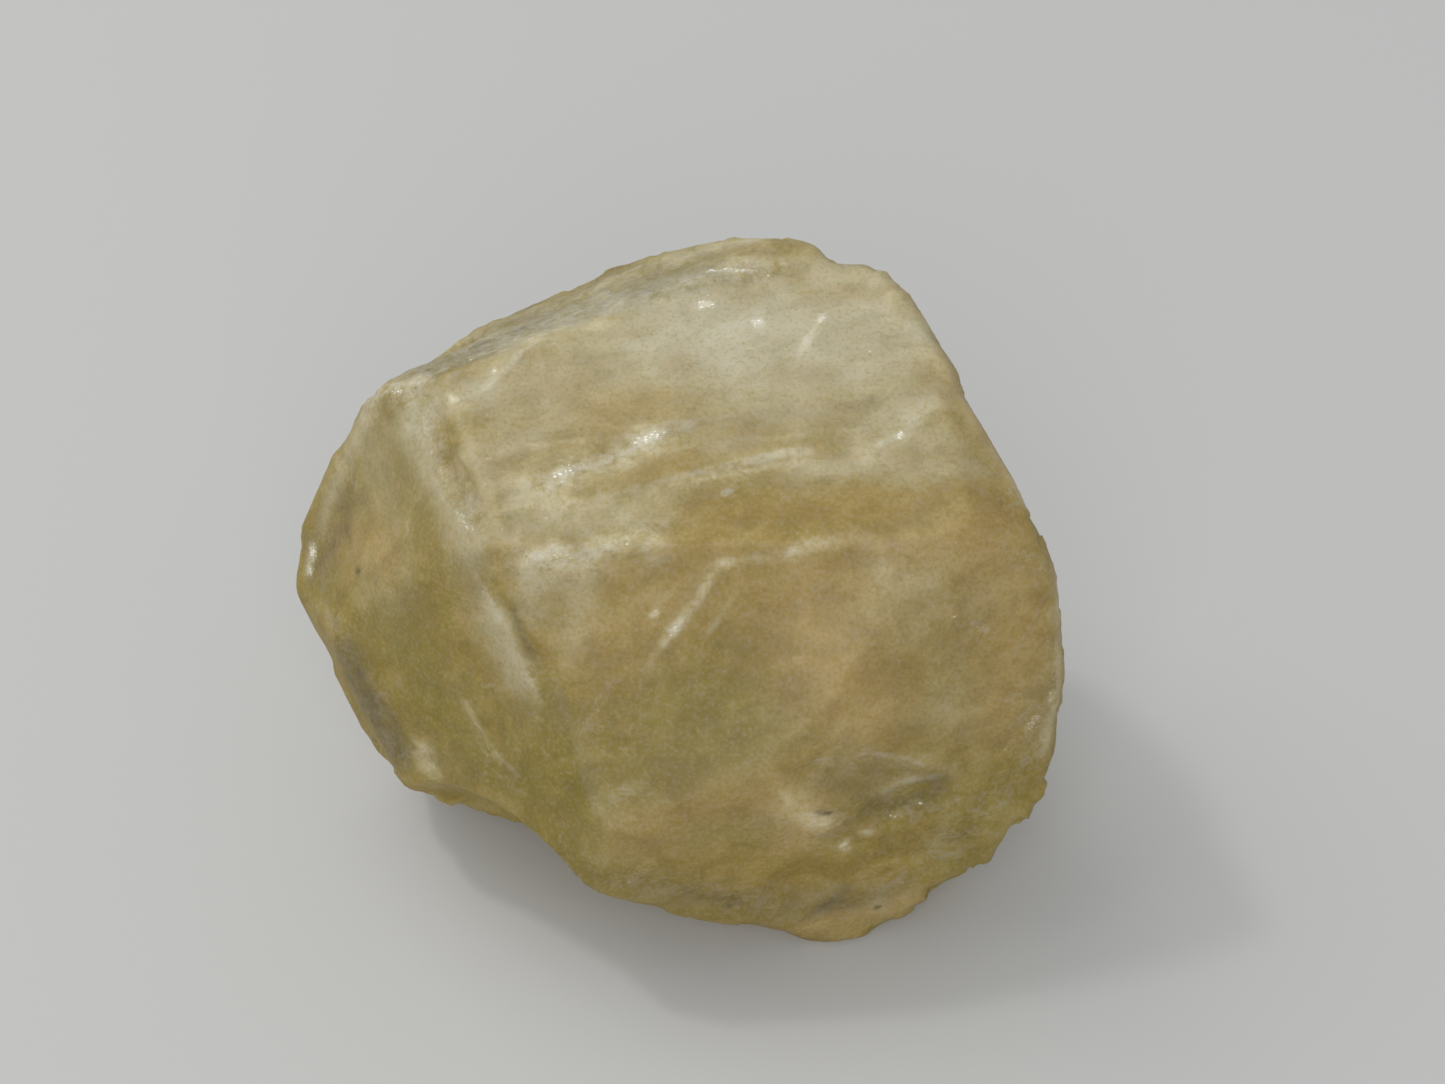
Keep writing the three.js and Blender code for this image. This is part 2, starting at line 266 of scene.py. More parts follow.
# Lines of the surface relief. name: kind, height in mm, width in mm, how bright the highlight painted
# along its edge is, points.
# A ledge drops at the line and climbs back on the right of its way.
frontLines = {
    "bandHigh": ("ledge", 0.03, 0.8, 0.7, [(-4.4, 3.2), (-3.4, 3.5), (-2.0, 3.9), (-0.7, 4.6),
                                           (0.7, 5.1), (2.7, 5.5)]),
    "bandLow": ("ledge", 0.02, 0.7, 0.6, [(-3.8, 2.6), (-2.1, 2.8), (-0.4, 3.3), (1.6, 3.8), (3.6, 4.2),
                                          (5.6, 4.1)]),
    "bandEnd": ("ledge", 0.05, 0.5, 0.9, [(5.6, 4.1), (6.1, 4.4), (6.6, 4.7), (7.1, 5.2), (7.7, 5.8)]),
    "bandHair": ("lip", 0.02, 0.15, 0.6, [(-2.6, 4.4), (-1.1, 4.8), (0.7, 5.1), (2.1, 5.4)]),
    "shortHair": ("lip", 0.03, 0.15, 0.8, [(1.2, 2.85), (1.8, 3.1)]),
    "whiteRidge": ("lip", 0.015, 0.3, 0.5, [(-4.2, 1.0), (-3.6, 1.2), (-2.9, 1.1), (-2.2, 1.2),
                                            (-1.3, 1.5)]),
    "arc": ("ledge", 0.03, 1.0, 0.15, [(1.3, 1.0), (2.1, 1.1), (2.7, 1.2), (3.6, 1.4), (4.7, 1.8),
                                       (5.4, 1.8), (5.8, 1.5), (6.0, 1.0), (6.1, 0.3)]),
    "streak": ("ledge", 0.02, 0.6, 0.3, [(-0.9, -2.1), (-0.3, -1.5), (0.0, -1.0), (0.5, -0.5),
                                         (1.1, 0.0), (1.6, 0.6)]),
    "streakBranch": ("lip", 0.015, 0.15, 0.3, [(0.6, -1.5), (1.0, -1.0), (1.5, -0.5)]),
    "wingTop": ("ledge", 0.05, 0.7, 0.6, [(3.2, -5.1), (4.5, -4.9), (6.0, -4.8), (6.8, -5.0),
                                          (7.6, -5.3), (8.4, -5.4)]),
    "wingLow": ("ledge", 0.05, 0.8, 0.6, [(8.4, -5.45), (7.8, -5.6), (7.1, -5.65), (6.6, -5.8),
                                          (6.1, -6.1), (5.4, -6.7)]),
    "rightLine": ("lip", 0.02, 0.2, 0.0, [(11.5, -3.0), (11.1, -3.5), (10.4, -4.3), (9.7, -5.0)]),
    "rightHair": ("lip", 0.02, 0.12, 0.6, [(8.5, -0.85), (9.0, -1.0), (9.4, -1.3)]),
    "stripLeft": ("ledge", 0.03, 0.5, 0.5, [(-8.6, 6.0), (-8.0, 5.0), (-7.6, 4.3), (-7.3, 3.5),
                                            (-6.9, 2.7), (-5.9, 1.7)]),
    "stripRight": ("lip", 0.015, 0.12, 0.3, [(-6.8, 5.7), (-6.5, 5.1), (-6.2, 4.5), (-5.9, 3.8),
                                             (-5.6, 2.7)]),
    "stripGroove": ("groove", 0.03, 0.18, 0.0, [(-7.1, 5.7), (-6.8, 5.2), (-6.5, 4.6), (-6.3, 4.1)]),
    "upperEdge": ("ledge", 0.03, 0.3, 0.5, [(-3.3, 7.8), (-4.1, 7.7), (-4.8, 7.3), (-5.0, 6.9),
                                            (-5.8, 6.1), (-6.4, 5.8)]),
    "fold": ("groove", 0.12, 0.22, 0.0, [(-4.9, -0.2), (-4.6, -0.8), (-4.4, -1.3), (-4.1, -2.2)]),
    "foldLow": ("groove", 0.12, 0.5, 0.0, [(-4.1, -2.2), (-3.7, -3.4), (-3.3, -4.5), (-2.8, -5.5),
                                           (-2.5, -6.9)]),
    "leftHair": ("lip", 0.015, 0.1, 0.5, [(-5.5, -4.9), (-5.1, -5.3), (-4.6, -5.8)]),
    "topStreak": ("lip", 0.04, 0.12, 0.9, [(4.4, 8.4), (4.1, 7.9), (3.7, 7.2)]),
    "bottomShell": ("ledge", 0.06, 0.9, 0.2, [(5.4, -8.8), (5.2, -9.3), (4.8, -9.8), (4.0, -10.3)]),
    "rearStepInner": ("ledge", 0.02, 0.3, 0.25, [(-7.4, 6.3), (-6.3, 6.9), (-5.4, 7.2), (-4.1, 7.9),
                                                 (-2.6, 8.3), (-1.3, 9.0), (0.4, 9.6)]),
    "rearStepMiddle": ("ledge", 0.02, 0.3, 0.3, [(-7.0, 7.0), (-5.9, 7.4), (-4.7, 8.0), (-3.3, 8.5),
                                                 (-2.2, 9.1), (-0.6, 9.6)]),
    "rearStepOuter": ("ledge", 0.02, 0.3, 0.4, [(-6.6, 7.7), (-5.2, 8.1), (-4.0, 8.7), (-2.7, 9.2)]),
    "rearCracks": ("ledge", 0.03, 0.2, 0.5, [(-7.9, 6.2), (-6.9, 6.5), (-5.9, 7.0), (-4.8, 7.6),
                                             (-3.4, 8.1), (-1.9, 8.8)]),
    "lensLine": ("ledge", 0.05, 0.4, 0.8, [(2.6, 9.8), (2.0, 9.9), (1.2, 9.9), (0.2, 9.6),
                                           (-0.6, 9.2)]),
}
# the same on the hidden sides, as azimuth and elevation in degrees
hiddenLines = {
    "backStepA": ("ledge", 0.07, 0.6, 0.35, [(118, 38), (145, 46), (175, 48), (205, 44), (232, 34)]),
    "backStepB": ("ledge", 0.05, 0.5, 0.35, [(108, 14), (135, 22), (165, 26), (192, 22)]),
    "backHair": ("lip", 0.02, 0.12, 0.5, [(128, 30), (150, 34), (178, 35)]),
    "backHairLow": ("lip", 0.02, 0.12, 0.4, [(150, -4), (172, 3), (196, 1)]),
    "sideLine": ("lip", 0.02, 0.14, 0.35, [(84, 30), (92, 12), (99, -6)]),
    "sideStep": ("ledge", 0.06, 0.6, 0.4, [(238, 38), (249, 20), (256, 2)]),
    "sideHair": ("lip", 0.02, 0.12, 0.5, [(236, 30), (242, 14), (244, -4)]),
    "rightArc": ("ledge", 0.06, 0.7, 0.35, [(60, 6), (70, 18), (84, 20), (96, 10)]),
    "lowFold": ("groove", 0.08, 0.3, 0.0, [(216, 18), (212, 2), (206, -18)]),
}

# the outline seen from the front: shallow chips and swellings along it
outlineLines = {
    "shoulder": ("lip", 0.23, 0.8, 0.0, [(8.9, 6.2), (8.5, 6.9), (8.0, 7.7), (7.4, 8.6), (6.9, 9.4),
                                         (6.5, 9.8)]),
    "topLens": ("lip", 0.12, 0.5, 0.0, [(4.4, 10.5), (3.8, 10.8), (3.0, 10.9)]),
    "topNotch": ("groove", 0.22, 0.45, 0.0, [(6.3, 9.9), (5.8, 10.0), (5.2, 10.1), (4.5, 10.3)]),
    "topSwell": ("lip", 0.14, 0.8, 0.0, [(2.0, 10.8), (0.7, 10.7), (-0.3, 10.5), (-1.2, 10.2),
                                         (-1.7, 10.0)]),
    "rearNotch": ("groove", 0.13, 0.45, 0.0, [(-2.2, 9.8), (-3.0, 9.4), (-3.8, 9.1)]),
    "rearChip": ("groove", 0.28, 0.6, 0.0, [(-9.7, 5.6), (-9.0, 6.3), (-7.9, 6.9), (-7.3, 7.2),
                                            (-6.8, 7.4), (-6.0, 8.0)]),
    "rearBite": ("groove", 0.38, 0.4, 0.0, [(-7.3, 7.1), (-6.8, 7.4), (-6.2, 7.8)]),
    "leftSwell": ("lip", 0.2, 0.7, 0.0, [(-10.4, 4.6), (-10.9, 3.5), (-11.2, 2.9), (-11.5, 2.3),
                                         (-11.8, 1.2)]),
    "leftLow": ("lip", 0.11, 0.6, 0.0, [(-10.7, -2.2), (-10.3, -3.2), (-9.8, -4.1), (-9.5, -4.8)]),
    "leftNotch": ("groove", 0.22, 0.3, 0.0, [(-9.4, -4.8), (-9.1, -5.1), (-8.7, -5.7)]),
    "footChipA": ("lip", 0.14, 0.3, 0.0, [(-7.6, -6.4), (-7.1, -6.6), (-6.8, -6.65)]),
    "footChipB": ("lip", 0.12, 0.35, 0.0, [(-6.1, -6.85), (-5.5, -7.0), (-4.9, -7.2)]),
    "footSwell": ("lip", 0.16, 0.5, 0.0, [(-0.6, -9.9), (0.4, -10.1), (1.1, -10.2), (2.2, -10.35)]),
    "flakeSwell": ("lip", 0.13, 0.6, 0.0, [(3.3, -10.6), (4.4, -10.8), (5.3, -10.7), (6.1, -10.4)]),
    "flakeEnd": ("lip", 0.14, 0.3, 0.0, [(6.6, -10.2), (7.0, -10.0), (7.3, -9.8)]),
    "cornerBite": ("groove", 0.36, 0.5, 0.0, [(7.5, -9.6), (8.0, -9.1), (8.4, -8.8), (8.9, -8.5),
                                              (9.4, -8.3)]),
    "cornerNotch": ("groove", 0.3, 0.35, 0.0, [(10.0, -7.6), (10.3, -7.2), (10.7, -6.9)]),
    "rightChip": ("lip", 0.17, 0.3, 0.0, [(11.0, -6.5), (11.2, -6.2), (11.35, -5.8)]),
    "rightSwell": ("lip", 0.13, 0.6, 0.0, [(11.7, -3.8), (11.8, -2.9), (11.8, -1.5)]),
    "rightBite": ("groove", 0.18, 0.35, 0.0, [(11.3, 1.6), (11.0, 2.0), (10.6, 2.5)]),
    "rightTrim": ("groove", 0.09, 0.7, 0.0, [(11.7, -0.8), (11.5, 0.4), (11.3, 1.3), (10.7, 2.4),
                                             (10.2, 3.5)]),
}
relief = {
    "reach": 3.2,        # widths
    "waver": 0.1,        # mm
    "dropOver": 0.06,    # mm to either side of a ledge's line
}


def heightOf(kind, height, width, far, side):
    if kind == "ledge":
        drop = smooth(side, -relief["dropOver"], relief["dropOver"])
        return -height * np.exp(-np.maximum(side, 0) / width) * drop
    if kind == "groove":
        return -height * np.exp(-(far / width) ** 2)
    return height * np.exp(-(far / width) ** 2)


def weigh(crystal, name, amount):
    group = crystal.vertex_groups.new(name=name)
    for i in np.nonzero(amount > 1e-3)[0]:
        group.add([int(i)], float(amount[i]), "REPLACE")


def saveAmount(crystal, name, amount):
    layer = crystal.data.attributes.new(name, "FLOAT", "POINT")
    layer.data.foreach_set("value", amount.astype(np.float32))


def shapeBody(crystal):
    skin = Skin(crystal)
    height = np.zeros(skin.count, np.float32)
    drawn = ((frontLines, skin.seen), (hiddenLines, skin.outward), (outlineLines, skin.rim))
    for lines, place in drawn:
        for kind, tall, width, bright, points in lines.values():
            reach = width * relief["reach"]
            index, far, side, ends = skin.measure(skin.line(points, place), reach, relief["waver"])
            fade = smooth(reach - far, 0, width)
            height[index] += heightOf(kind, tall, width, far, side) * ends * fade
    for name, sign in (("raised", 1), ("sunk", -1)):
        part = np.maximum(height * sign, 0)
        top = float(part.max())
        weigh(crystal, name, part / top)
        applyModifier(crystal, name, "DISPLACE", strength=sign * top * mm, mid_level=0.0,
                      vertex_group=name)
    crystal.vertex_groups.clear()
    print("ledges, lips and grooves carved")


# name: texture kind, lump size in mm, height in mm, share of it on the smooth faces, its settings
fractures = {
    "swell": ("CLOUDS", 4.5, 0.07, 1.0, {"noise_depth": 1}),
    "facets": ("VORONOI", 1.3, 0.15, 0.03, {"distance_metric": "CHEBYCHEV"}),
    "splinters": ("VORONOI", 0.5, 0.11, 0.0, {"distance_metric": "MANHATTAN"}),
    "grain": ("CLOUDS", 0.6, 0.012, 0.3, {"noise_depth": 2}),
}
# where the stone broke roughly instead of along a smooth cleavage. name: strength, left and right
# width in mm, points
wildPlaces = {
    "rear": (1.0, 3.2, 0.7, [(-8.5, 6.2), (-6.5, 7.1), (-3.3, 8.5), (-2.0, 8.9)]),
    "rearEnd": (0.9, 0.7, 0.5, [(-2.0, 8.9), (0.8, 9.6), (3.0, 9.9)]),
    "junction": (0.7, 0.7, 0.7, [(-4.5, 1.0), (-2.9, 1.2), (-0.6, 1.5)]),
    "bands": (0.6, 0.5, 0.5, [(-4.0, 3.2), (-2.0, 3.9), (-0.3, 4.8)]),
    "strip": (0.85, 0.45, 0.45, [(-7.6, 5.4), (-6.9, 3.9), (-5.9, 2.2)]),
    "wing": (0.55, 1.0, 1.0, [(4.4, -6.9), (7.0, -6.7), (9.0, -6.6)]),
    "rightRim": (0.45, 0.9, 0.9, [(11.4, 1.0), (11.6, -2.5), (10.6, -5.5), (8.4, -8.0), (5.6, -9.8)]),
    "foot": (0.5, 0.9, 0.9, [(3.7, -9.8), (-0.5, -9.0), (-3.0, -8.6)]),
    "leftRim": (0.5, 0.7, 0.7, [(-11.6, 1.0), (-10.5, -2.1), (-8.8, -5.6)]),
}
# on the hidden sides it broke so where a noise says: its lump size in mm, shift, low, high, strength
hiddenWild = (4.0, 3.0, 0.0, 0.5, 0.6)
strokes = {
    "reach": 2.4,        # widths
    "waver": 0.22,       # widths, at most of a stroke as wide as this
    "waverUpTo": 1.0,    # mm
}


def paintStrokes(skin, places, place, amount):
    for strength, leftSide, rightSide, points in places.values():
        reach = strokes["reach"] * max(leftSide, rightSide)
        waver = strokes["waver"] * min(leftSide, rightSide, strokes["waverUpTo"])
        index, far, side, ends = skin.measure(skin.line(points, place), reach, waver)
        width = np.where(side < 0, leftSide, rightSide)
        value = strength * np.exp(-(far / width) ** 2)
        amount[index] = 1 - (1 - amount[index]) * (1 - np.clip(value, 0, 1))
    return amount


def roughenBody(crystal):
    skin = Skin(crystal)
    wild = paintStrokes(skin, wildPlaces, skin.seen, np.zeros(skin.count, np.float32))
    lump, shift, low, high, strength = hiddenWild
    wild = np.maximum(wild, strength * skin.hidden() * smooth(skin.noisy(lump, shift), low, high))
    for name, (kind, size, height, calm, settings) in fractures.items():
        texture = bpy.data.textures.new(name, kind)
        texture.noise_scale = size * mm
        for key, value in settings.items():
            setattr(texture, key, value)
        weigh(crystal, name, calm + (1 - calm) * wild)
        applyModifier(crystal, name, "DISPLACE", texture=texture, texture_coords="LOCAL",
                      strength=height * mm, mid_level=0.5, vertex_group=name)
    crystal.vertex_groups.clear()
    saveAmount(crystal, "wild", wild)
    print("fracture texture pressed in")


# What shows of the inside, and the painted light and shade, as amounts from 0 to 1. name: strength,
# left and right width in mm, points.
marks = {
    "veil": {
        "cream": (0.6, 2.2, 2.2, [(0.0, 8.2), (2.5, 7.8), (4.8, 8.1), (5.4, 8.0)]),
        "creamWide": (0.46, 3.4, 2.6, [(-3.0, 7.2), (0.3, 6.6), (4.0, 6.4), (6.5, 6.6)]),
        "creamLow": (0.42, 0.5, 0.7, [(3.6, 3.6), (5.2, 3.8), (7.0, 3.6), (8.8, 3.7)]),
        "rear": (0.46, 3.0, 0.4, [(-8.2, 6.4), (-6.5, 7.1), (-4.8, 7.8), (-3.0, 8.4)]),
        "junctionWide": (0.45, 1.2, 0.8, [(-5.9, 1.1), (-5.6, 1.7), (-4.4, 2.0), (-1.0, 2.0)]),
        "hollow": (0.5, 0.55, 0.55, [(-4.4, 0.6), (-4.2, -0.6)]),
        "hollowRight": (0.4, 0.7, 0.5, [(-3.7, 0.4), (-2.5, 0.5)]),
        "bandEndWide": (0.4, 0.5, 0.5, [(5.4, 4.6), (6.4, 5.1), (7.6, 5.9)]),
        "cloudHigh": (0.35, 0.9, 0.9, [(0.8, 8.7), (1.8, 8.5), (3.0, 8.7)]),
        "cloudLow": (0.25, 0.7, 0.7, [(1.2, 7.0), (2.2, 6.9)]),
        "patch": (0.4, 0.9, 0.9, [(3.3, -6.4), (4.0, -7.1)]),
        # painted light: lightens the right rim of the outline, where the lamps leave it darker
        "rightEdge": (0.55, 0.4, 0.45, [(7.2, 8.0), (8.05, 6.65), (8.85, 5.3), (9.55, 4.0),
                                        (10.35, 2.6)]),
        "lens": (0.5, 0.45, 0.45, [(-0.2, 10.5), (1.3, 10.9), (2.4, 11.0)]),
        "topRight": (0.5, 0.6, 0.6, [(4.4, 9.8), (5.4, 9.9), (6.1, 9.6)]),
        # painted light along the thin right rim
        "rightThin": (0.5, 0.25, 0.25, [(11.1, 1.5), (11.25, 0.8), (11.4, -0.9), (11.5, -2.8),
                                        (11.2, -4.9)]),
        # painted light on the left tip
        "tip": (0.4, 0.25, 0.25, [(-11.75, 1.5), (-11.85, 1.0), (-11.85, 0.6)]),
        # painted light: lightens the left rim of the outline, where the lamps leave it darker
        "leftEdge": (0.45, 0.4, 0.4, [(-9.4, 5.9), (-10.5, 4.0), (-11.4, 2.0)]),
        "foldRight": (0.2, 0.5, 0.08, [(-3.6, -2.8), (-3.1, -4.2), (-2.7, -5.6), (-2.4, -6.6)]),
        "rightBand": (0.35, 0.6, 0.6, [(6.9, 4.6), (8.2, 4.4)]),
        "bandMiddle": (0.35, 0.4, 0.4, [(1.0, 4.3), (2.2, 4.5)]),
        "bandLeft": (0.4, 0.5, 0.5, [(-5.2, 4.2), (-4.2, 4.5)]),
        "rightRim": (0.25, 0.8, 0.8, [(9.0, -0.2), (10.0, -0.4)]),
        "upperEnd": (0.35, 0.6, 0.6, [(2.6, 5.4), (3.4, 5.6)]),
        "stripHigh": (0.6, 0.8, 0.8, [(-7.8, 5.7), (-6.9, 5.8), (-5.8, 6.1)]),
        "stripRight": (0.4, 0.8, 0.8, [(-6.1, 4.0), (-5.5, 3.2), (-4.7, 3.0)]),
        "rightUpper": (0.3, 1.2, 1.2, [(7.3, 1.5), (8.8, 1.6), (9.4, 0.6)]),
        "centreRight": (0.22, 1.2, 1.2, [(4.4, -1.0), (6.2, -0.7)]),
        "rightLow": (0.26, 1.0, 1.0, [(4.9, -4.2), (6.2, -3.5), (9.0, -3.7)]),
        "low": (0.15, 1.2, 1.2, [(-1.6, -7.4), (0.2, -6.9), (2.6, -5.7)]),
        "featherLeft": (0.68, 0.24, 1.2, [(-5.2, -0.6), (-5.0, -1.0), (-4.75, -1.6), (-4.45, -2.2)]),
        "featherRight": (0.42, 0.5, 0.7, [(-2.8, -0.2), (-2.9, -0.9), (-3.0, -1.5)]),
        "pinkPale": (0.2, 1.7, 1.7, [(4.2, -0.6), (4.7, -2.3)]),
        "rightHigh": (0.15, 1.5, 1.5, [(7.0, 0.0), (8.0, -0.8)]),
        "rightGrey": (0.15, 1.4, 1.4, [(8.7, -2.6), (10.4, -2.7)]),
        "leftSide": (0.32, 1.5, 1.5, [(-9.4, 4.4), (-8.9, 2.6), (-9.0, 0.6)]),
        "upperLeft": (0.25, 1.5, 1.5, [(-4.8, 5.9), (-3.6, 5.2)]),
        "flake": (0.35, 0.5, 0.6, [(4.1, -10.6), (5.9, -10.1), (7.1, -9.8)]),
        "rightPale": (0.35, 0.5, 0.5, [(5.9, 0.7), (6.8, 0.5), (7.4, 0.3)]),
        "featherHigh": (0.3, 0.25, 0.3, [(-5.4, -0.25), (-5.2, -0.6)]),
        "strip": (0.5, 0.7, 0.8, [(-8.0, 5.0), (-7.6, 4.2), (-7.2, 3.4), (-6.8, 2.7), (-6.1, 1.9)]),
    },
    "milk": {
        "rearEdge": (0.25, 0.1, 0.6, [(-2.4, 8.0), (-3.3, 7.8), (-4.1, 7.7), (-4.8, 7.3), (-5.0, 6.9),
                                      (-5.8, 6.1), (-6.4, 5.8)]),
        "junction": (0.35, 0.4, 0.3, [(-4.2, 1.0), (-3.6, 1.2), (-2.9, 1.1), (-2.2, 1.25),
                                      (-1.3, 1.55)]),
        "junctionEnd": (0.35, 0.3, 0.3, [(-0.7, 1.5), (-0.4, 1.4)]),
        "bandHigh": (0.6, 0.55, 0.7, [(-4.2, 3.1), (-3.0, 3.6), (-2.0, 3.9), (-0.8, 4.4)]),
        "bandLow": (0.4, 0.3, 0.6, [(-3.8, 2.5), (-2.1, 2.7), (-0.4, 3.1), (1.6, 3.7), (3.6, 4.1)]),
        "bandEnd": (0.35, 0.3, 0.25, [(5.6, 4.0), (6.6, 4.6), (7.7, 5.7)]),
        "arc": (0.5, 0.2, 0.32, [(3.4, 1.3), (4.1, 1.5), (4.7, 1.7), (5.2, 1.7)]),
        "arcEnd": (0.2, 0.2, 0.2, [(5.2, 1.7), (5.8, 1.3), (6.0, 0.6)]),
        "arcThin": (0.4, 0.16, 0.22, [(1.2, 0.9), (1.9, 0.95), (2.9, 1.15), (3.5, 1.35)]),
        "streakTail": (0.35, 0.12, 0.12, [(-0.95, -2.3), (-0.6, -1.7), (-0.2, -1.2)]),
        "streak": (0.5, 0.2, 0.18, [(-0.4, -1.4), (0.1, -0.9), (0.6, -0.2), (1.0, 0.4)]),
        "streakTop": (0.4, 0.3, 0.25, [(0.5, -0.2), (0.9, 0.4), (1.3, 0.9)]),
        "streakCore": (0.5, 0.18, 0.18, [(-0.15, -1.1), (0.15, -0.75)]),
        "streakSpot": (0.4, 0.13, 0.13, [(-0.75, -0.7), (-0.5, -0.5)]),
        "streakBranch": (0.35, 0.12, 0.12, [(-0.7, -0.6), (-0.4, -0.1), (-0.1, 0.1)]),
        "streakRight": (0.3, 0.14, 0.14, [(0.9, -1.2), (1.3, -0.6), (1.6, -0.2)]),
        "ridge": (0.75, 0.16, 0.22, [(-4.2, 1.05), (-3.8, 1.3), (-3.3, 1.4)]),
        "ridgeLow": (0.7, 0.2, 0.14, [(-3.9, 0.95), (-3.3, 0.8), (-2.7, 0.75)]),
        "feather": (0.2, 0.1, 0.6, [(-4.95, -0.4), (-4.75, -0.9)]),
        "featherTail": (0.2, 0.12, 0.2, [(-4.1, -2.2), (-4.1, -3.0), (-4.15, -3.8)]),
        "streakLeft": (0.4, 0.14, 0.3, [(-6.4, -3.4), (-6.1, -4.0), (-5.7, -4.6), (-5.3, -5.1)]),
        "spot": (0.55, 0.6, 0.6, [(-8.0, -5.1), (-7.8, -5.6)]),
        "patch": (0.45, 0.5, 0.5, [(3.2, -6.1), (3.7, -6.6), (4.3, -7.0)]),
        "wing": (0.25, 0.3, 0.3, [(4.5, -4.9), (6.0, -4.8), (8.4, -5.4)]),
        "topEdge": (0.3, 0.3, 0.3, [(0.6, 10.2), (2.0, 10.3), (3.4, 10.2)]),
        "chip": (0.8, 0.14, 0.14, [(5.0, -7.75), (5.15, -7.55)]),
        "orangeChip": (0.6, 0.18, 0.18, [(5.6, -7.35), (5.95, -7.35)]),
        "topStreak": (0.55, 0.1, 0.1, [(4.4, 8.4), (4.1, 7.9), (3.7, 7.2)]),
        "hairA": (0.26, 0.08, 0.08, [(0.3, 3.3), (1.7, 3.5), (3.1, 3.8)]),
        "hairB": (0.26, 0.08, 0.08, [(-2.9, 3.9), (-1.4, 4.1), (0.6, 4.35)]),
        "hairC": (0.26, 0.08, 0.08, [(2.4, 4.5), (4.2, 4.75), (5.4, 4.8)]),
        "hairD": (0.3, 0.08, 0.08, [(-4.3, 4.3), (-3.1, 4.5), (-2.2, 4.5)]),
        "hairE": (0.3, 0.08, 0.08, [(-5.2, 2.4), (-4.2, 2.6), (-3.0, 2.7)]),
    },
    "rose": {
        "right": (0.9, 1.7, 1.7, [(4.0, -0.4), (4.6, -2.4), (5.6, -3.6)]),
        "rightRim": (0.8, 1.3, 1.3, [(8.8, 1.4), (10.0, 0.0), (10.3, -1.4), (9.6, -3.6)]),
        "leftTip": (0.9, 0.8, 0.8, [(-10.6, 1.6), (-9.5, 1.6), (-8.9, 0.9)]),
        "low": (0.75, 1.0, 1.0, [(-1.2, -7.2), (0.0, -6.6), (1.6, -6.2), (3.2, -5.8)]),
        "centre": (0.5, 1.5, 1.5, [(-2.2, -1.5), (-0.9, -0.6), (0.6, 0.4)]),
        "top": (0.1, 0.7, 0.7, [(4.8, 9.6), (5.6, 9.8), (6.4, 9.4)]),
        "upper": (0.5, 0.6, 0.9, [(-2.2, 5.5), (-0.4, 5.8)]),
        "patch": (0.9, 0.8, 0.8, [(2.9, -6.2), (4.0, -6.6), (3.6, -7.6)]),
        "rightUpper": (0.6, 1.3, 1.3, [(7.0, 1.2), (9.0, 1.8)]),
        # painted light: a blush that lightens the right rim
        "rightEdge": (0.6, 0.6, 0.6, [(7.9, 6.9), (9.2, 4.6), (10.5, 2.4)]),
        "flake": (1.0, 0.6, 0.7, [(3.9, -10.6), (5.9, -10.1), (7.1, -9.8)]),
    },
    "amber": {
        "band": (0.8, 0.5, 0.8, [(0.6, 2.3), (3.0, 2.6), (4.8, 2.6), (6.0, 2.6)]),
        "bandEdge": (0.9, 0.12, 1.0, [(5.6, 3.1), (6.8, 2.9), (7.6, 3.2), (8.9, 3.3), (10.0, 3.4)]),
        "right": (0.55, 1.8, 1.8, [(5.9, -0.4), (8.0, -0.4), (10.6, -0.6)]),
        "dome": (0.5, 1.1, 1.1, [(2.6, 0.2), (4.6, 0.4)]),
        "foot": (0.6, 1.1, 1.1, [(0.0, -8.1), (3.4, -9.4), (7.0, -8.9)]),
        "betweenBands": (0.6, 0.35, 0.35, [(-2.2, 3.3), (0.2, 3.9), (2.2, 4.6)]),
        "upperTan": (0.5, 0.9, 0.9, [(-4.0, 6.4), (-2.9, 5.6), (-2.0, 4.9)]),
        "upperRight": (0.2, 0.4, 0.4, [(3.2, 5.3), (4.6, 5.0), (5.6, 5.0)]),
        "lens": (0.4, 0.45, 0.45, [(-0.6, 10.2), (0.9, 10.6), (2.8, 10.9), (4.3, 10.7)]),
        "fold": (0.5, 0.3, 0.1, [(-4.6, -0.5), (-4.3, -1.2), (-4.0, -1.9)]),
        "chip": (1.0, 0.2, 0.2, [(5.6, -7.35), (5.95, -7.35)]),
    },
    "olive": {
        "leftEdge": (0.6, 0.1, 1.4, [(-9.5, -0.4), (-8.1, 0.4), (-6.4, 1.3)]),
        "front": (0.95, 2.0, 2.0, [(0.4, -3.5), (1.9, -4.5), (1.2, -5.4), (-0.4, -5.8)]),
        "left": (0.85, 1.3, 1.3, [(-8.4, -1.2), (-7.6, -3.0), (-6.2, -5.0), (-4.6, -5.8)]),
        "leftHigh": (0.5, 0.9, 0.9, [(-8.5, 5.0), (-7.9, 3.2), (-7.4, 1.8)]),
        "wing": (0.8, 0.5, 0.5, [(5.8, -6.4), (6.7, -6.3), (7.9, -6.1)]),
        "fold": (1.0, 0.3, 0.3, [(-4.7, -0.4), (-4.4, -1.3), (-4.1, -2.2), (-3.8, -3.2)]),
        "foldLow": (1.0, 0.6, 1.2, [(-3.7, -3.4), (-3.3, -4.5), (-2.8, -5.5), (-2.5, -6.9)]),
        "foldEdge": (0.6, 0.1, 0.5, [(-3.9, -2.8), (-3.4, -4.2), (-3.0, -5.6), (-2.7, -6.8)]),
        "bandUnder": (0.4, 0.5, 0.5, [(0.6, 2.6), (2.2, 2.3), (3.4, 2.2)]),
        "right": (0.5, 0.5, 0.5, [(7.6, 0.3), (9.0, 0.0)]),
        "lensEdge": (0.3, 0.2, 0.2, [(-0.4, 9.0), (0.6, 9.5), (1.3, 9.75), (1.7, 9.7)]),
        "lensUnder": (0.4, 0.15, 0.15, [(0.8, 10.3), (2.5, 10.5), (4.0, 10.4)]),
        "stripGroove": (0.6, 0.12, 0.12, [(-7.3, 5.5), (-6.9, 5.0), (-6.5, 4.4), (-6.2, 3.7)]),
